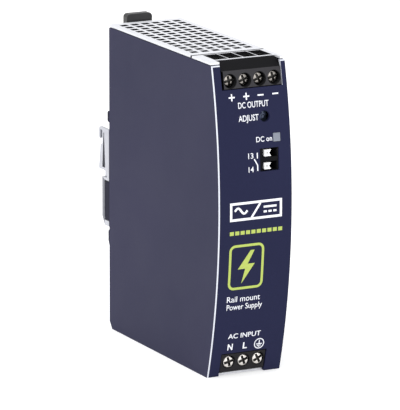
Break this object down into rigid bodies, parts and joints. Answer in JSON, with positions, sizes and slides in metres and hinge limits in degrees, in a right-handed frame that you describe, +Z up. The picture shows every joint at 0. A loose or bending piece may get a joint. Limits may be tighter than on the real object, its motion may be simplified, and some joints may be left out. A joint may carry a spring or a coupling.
{
  "type": "din rail power supply",
  "caption": "Slim switched-mode power supply for a top hat rail, with screw terminals, vented covers and a sprung rail latch.",
  "frame": {"origin": "centre of the seat face that bears on the front of a 35 mm top hat rail", "axes": "+Z up along the case, +X to the right seen from the front, +Y from the front panel into the rail"},
  "size_m": [0.032, 0.105, 0.1281],
  "materials": {
    "side_paint": "satin powder coat, slate blue",
    "front_paint": "satin powder coat, navy",
    "zinc_sheet": "bright zinc plate",
    "spring_steel": "satin",
    "black_plastic": "matte moulded",
    "nickel_plate": "bright nickel plate",
    "tinned_copper": "satin",
    "white_plastic": "matte moulded",
    "clear_plastic": "frosted",
    "epoxy": "matte moulded",
    "circuit_board": "solder mask",
    "ferrite": "ground",
    "winding_tape": "polyester tape",
    "copper_wire": "enamelled",
    "capacitor_sleeve": "shrink sleeve",
    "film_case": "moulded",
    "heat_sink_aluminium": "mill finish"
  },
  "bodies": {
    "housing": {"alarm_relay": "white_plastic", "bottom_vent_cover": "zinc_sheet", "bracket_screw_lower": "nickel_plate", "bracket_screw_upper": "nickel_plate", "bridge_rectifier": "epoxy", "bulk_capacitor": "capacitor_sleeve", "common_mode_choke": "copper_wire", "contact_bar_earth": "tinned_copper", "contact_bar_live": "tinned_copper", "contact_bar_negative": "tinned_copper", "contact_bar_neutral": "tinned_copper", "contact_bar_positive": "tinned_copper", "control_board": "circuit_board", "din_bracket": "zinc_sheet", "front_panel": "front_paint", "input_entry_plate": "zinc_sheet", "input_fuse": "clear_plastic", "input_terminal_block": "black_plastic", "led_light_pipe": "clear_plastic", "main_pcb": "circuit_board", "output_capacitor_1": "capacitor_sleeve", "output_capacitor_2": "capacitor_sleeve", "output_choke": "copper_wire", "output_entry_plate": "zinc_sheet", "output_rectifier": "epoxy", "output_terminal_block": "black_plastic", "primary_heat_sink": "heat_sink_aluminium", "rail_seat_plate": "zinc_sheet", "rear_plate": "zinc_sheet", "secondary_heat_sink": "heat_sink_aluminium", "side_panel_left": "side_paint", "side_panel_right": "side_paint", "signal_terminal_block": "black_plastic", "switching_mosfet": "epoxy", "top_vent_cover": "zinc_sheet", "transformer_core": "ferrite", "transformer_winding": "winding_tape", "trim_pot_body": "epoxy", "x_capacitor": "film_case"},
    "output_screw_1_body": {"output_screw_1": "nickel_plate"},
    "output_cage_1_body": {"output_cage_1": "nickel_plate"},
    "output_screw_2_body": {"output_screw_2": "nickel_plate"},
    "output_cage_2_body": {"output_cage_2": "nickel_plate"},
    "output_screw_3_body": {"output_screw_3": "nickel_plate"},
    "output_cage_3_body": {"output_cage_3": "nickel_plate"},
    "output_screw_4_body": {"output_screw_4": "nickel_plate"},
    "output_cage_4_body": {"output_cage_4": "nickel_plate"},
    "input_screw_neutral_body": {"input_screw_neutral": "nickel_plate"},
    "input_cage_neutral_body": {"input_cage_neutral": "nickel_plate"},
    "input_screw_live_body": {"input_screw_live": "nickel_plate"},
    "input_cage_live_body": {"input_cage_live": "nickel_plate"},
    "input_screw_earth_body": {"input_screw_earth": "nickel_plate"},
    "input_cage_earth_body": {"input_cage_earth": "nickel_plate"},
    "signal_actuator_upper_body": {"signal_actuator_upper": "white_plastic"},
    "signal_actuator_lower_body": {"signal_actuator_lower": "white_plastic"},
    "trimmer": {"trim_pot_rotor": "white_plastic"},
    "latch": {"latch_slide": "spring_steel", "release_tab": "black_plastic", "latch_spring": "spring_steel"}
  },
  "joints": [
    {"name": "output_screw_1_turn", "type": "hinge", "parent": "housing", "child": "output_screw_1_body", "pos_m": [-0.00822, -0.0923, 0.0546], "axis": [0, 1, 0], "range_deg": [0, 1620]},
    {"name": "output_cage_1_lift", "type": "slide", "parent": "housing", "child": "output_cage_1_body", "axis": [0, -1, 0], "range_m": [0, 0.0027]},
    {"name": "output_screw_2_turn", "type": "hinge", "parent": "housing", "child": "output_screw_2_body", "pos_m": [-0.00187, -0.0923, 0.0546], "axis": [0, 1, 0], "range_deg": [0, 1620]},
    {"name": "output_cage_2_lift", "type": "slide", "parent": "housing", "child": "output_cage_2_body", "axis": [0, -1, 0], "range_m": [0, 0.0027]},
    {"name": "output_screw_3_turn", "type": "hinge", "parent": "housing", "child": "output_screw_3_body", "pos_m": [0.00447, -0.0923, 0.0546], "axis": [0, 1, 0], "range_deg": [0, 1620]},
    {"name": "output_cage_3_lift", "type": "slide", "parent": "housing", "child": "output_cage_3_body", "axis": [0, -1, 0], "range_m": [0, 0.0027]},
    {"name": "output_screw_4_turn", "type": "hinge", "parent": "housing", "child": "output_screw_4_body", "pos_m": [0.01082, -0.0923, 0.0546], "axis": [0, 1, 0], "range_deg": [0, 1620]},
    {"name": "output_cage_4_lift", "type": "slide", "parent": "housing", "child": "output_cage_4_body", "axis": [0, -1, 0], "range_m": [0, 0.0027]},
    {"name": "input_screw_neutral_turn", "type": "hinge", "parent": "housing", "child": "input_screw_neutral_body", "pos_m": [-0.007, -0.0923, -0.0573], "axis": [0, 1, 0], "range_deg": [0, 1620]},
    {"name": "input_cage_neutral_lift", "type": "slide", "parent": "housing", "child": "input_cage_neutral_body", "axis": [0, -1, 0], "range_m": [0, 0.0027]},
    {"name": "input_screw_live_turn", "type": "hinge", "parent": "housing", "child": "input_screw_live_body", "pos_m": [-0.00065, -0.0923, -0.0573], "axis": [0, 1, 0], "range_deg": [0, 1620]},
    {"name": "input_cage_live_lift", "type": "slide", "parent": "housing", "child": "input_cage_live_body", "axis": [0, -1, 0], "range_m": [0, 0.0027]},
    {"name": "input_screw_earth_turn", "type": "hinge", "parent": "housing", "child": "input_screw_earth_body", "pos_m": [0.0057, -0.0923, -0.0573], "axis": [0, 1, 0], "range_deg": [0, 1620]},
    {"name": "input_cage_earth_lift", "type": "slide", "parent": "housing", "child": "input_cage_earth_body", "axis": [0, -1, 0], "range_m": [0, 0.0027]},
    {"name": "signal_actuator_upper_push", "type": "slide", "parent": "housing", "child": "signal_actuator_upper_body", "axis": [0, 1, 0], "range_m": [0, 0.0012], "stiffness_N_per_m": 4000, "springref_m": -0.0008},
    {"name": "signal_actuator_lower_push", "type": "slide", "parent": "housing", "child": "signal_actuator_lower_body", "axis": [0, 1, 0], "range_m": [0, 0.0012], "stiffness_N_per_m": 4000, "springref_m": -0.0008},
    {"name": "trimmer_turn", "type": "hinge", "parent": "housing", "child": "trimmer", "pos_m": [0.00535, -0.093, 0.04025], "axis": [0, 1, 0], "range_deg": [-135, 135]},
    {"name": "latch_release", "type": "slide", "parent": "housing", "child": "latch", "axis": [0, 0, -1], "range_m": [0, 0.003], "stiffness_N_per_m": 1500, "springref_m": -0.004, "deforming": ["latch_spring"]}
  ],
  "couplings": [
    {"joint": "output_screw_1_turn", "follows": "output_cage_1_lift", "rad_per_m": 10472},
    {"joint": "output_screw_2_turn", "follows": "output_cage_2_lift", "rad_per_m": 10472},
    {"joint": "output_screw_3_turn", "follows": "output_cage_3_lift", "rad_per_m": 10472},
    {"joint": "output_screw_4_turn", "follows": "output_cage_4_lift", "rad_per_m": 10472},
    {"joint": "input_screw_neutral_turn", "follows": "input_cage_neutral_lift", "rad_per_m": 10472},
    {"joint": "input_screw_live_turn", "follows": "input_cage_live_lift", "rad_per_m": 10472},
    {"joint": "input_screw_earth_turn", "follows": "input_cage_earth_lift", "rad_per_m": 10472}
  ]
}
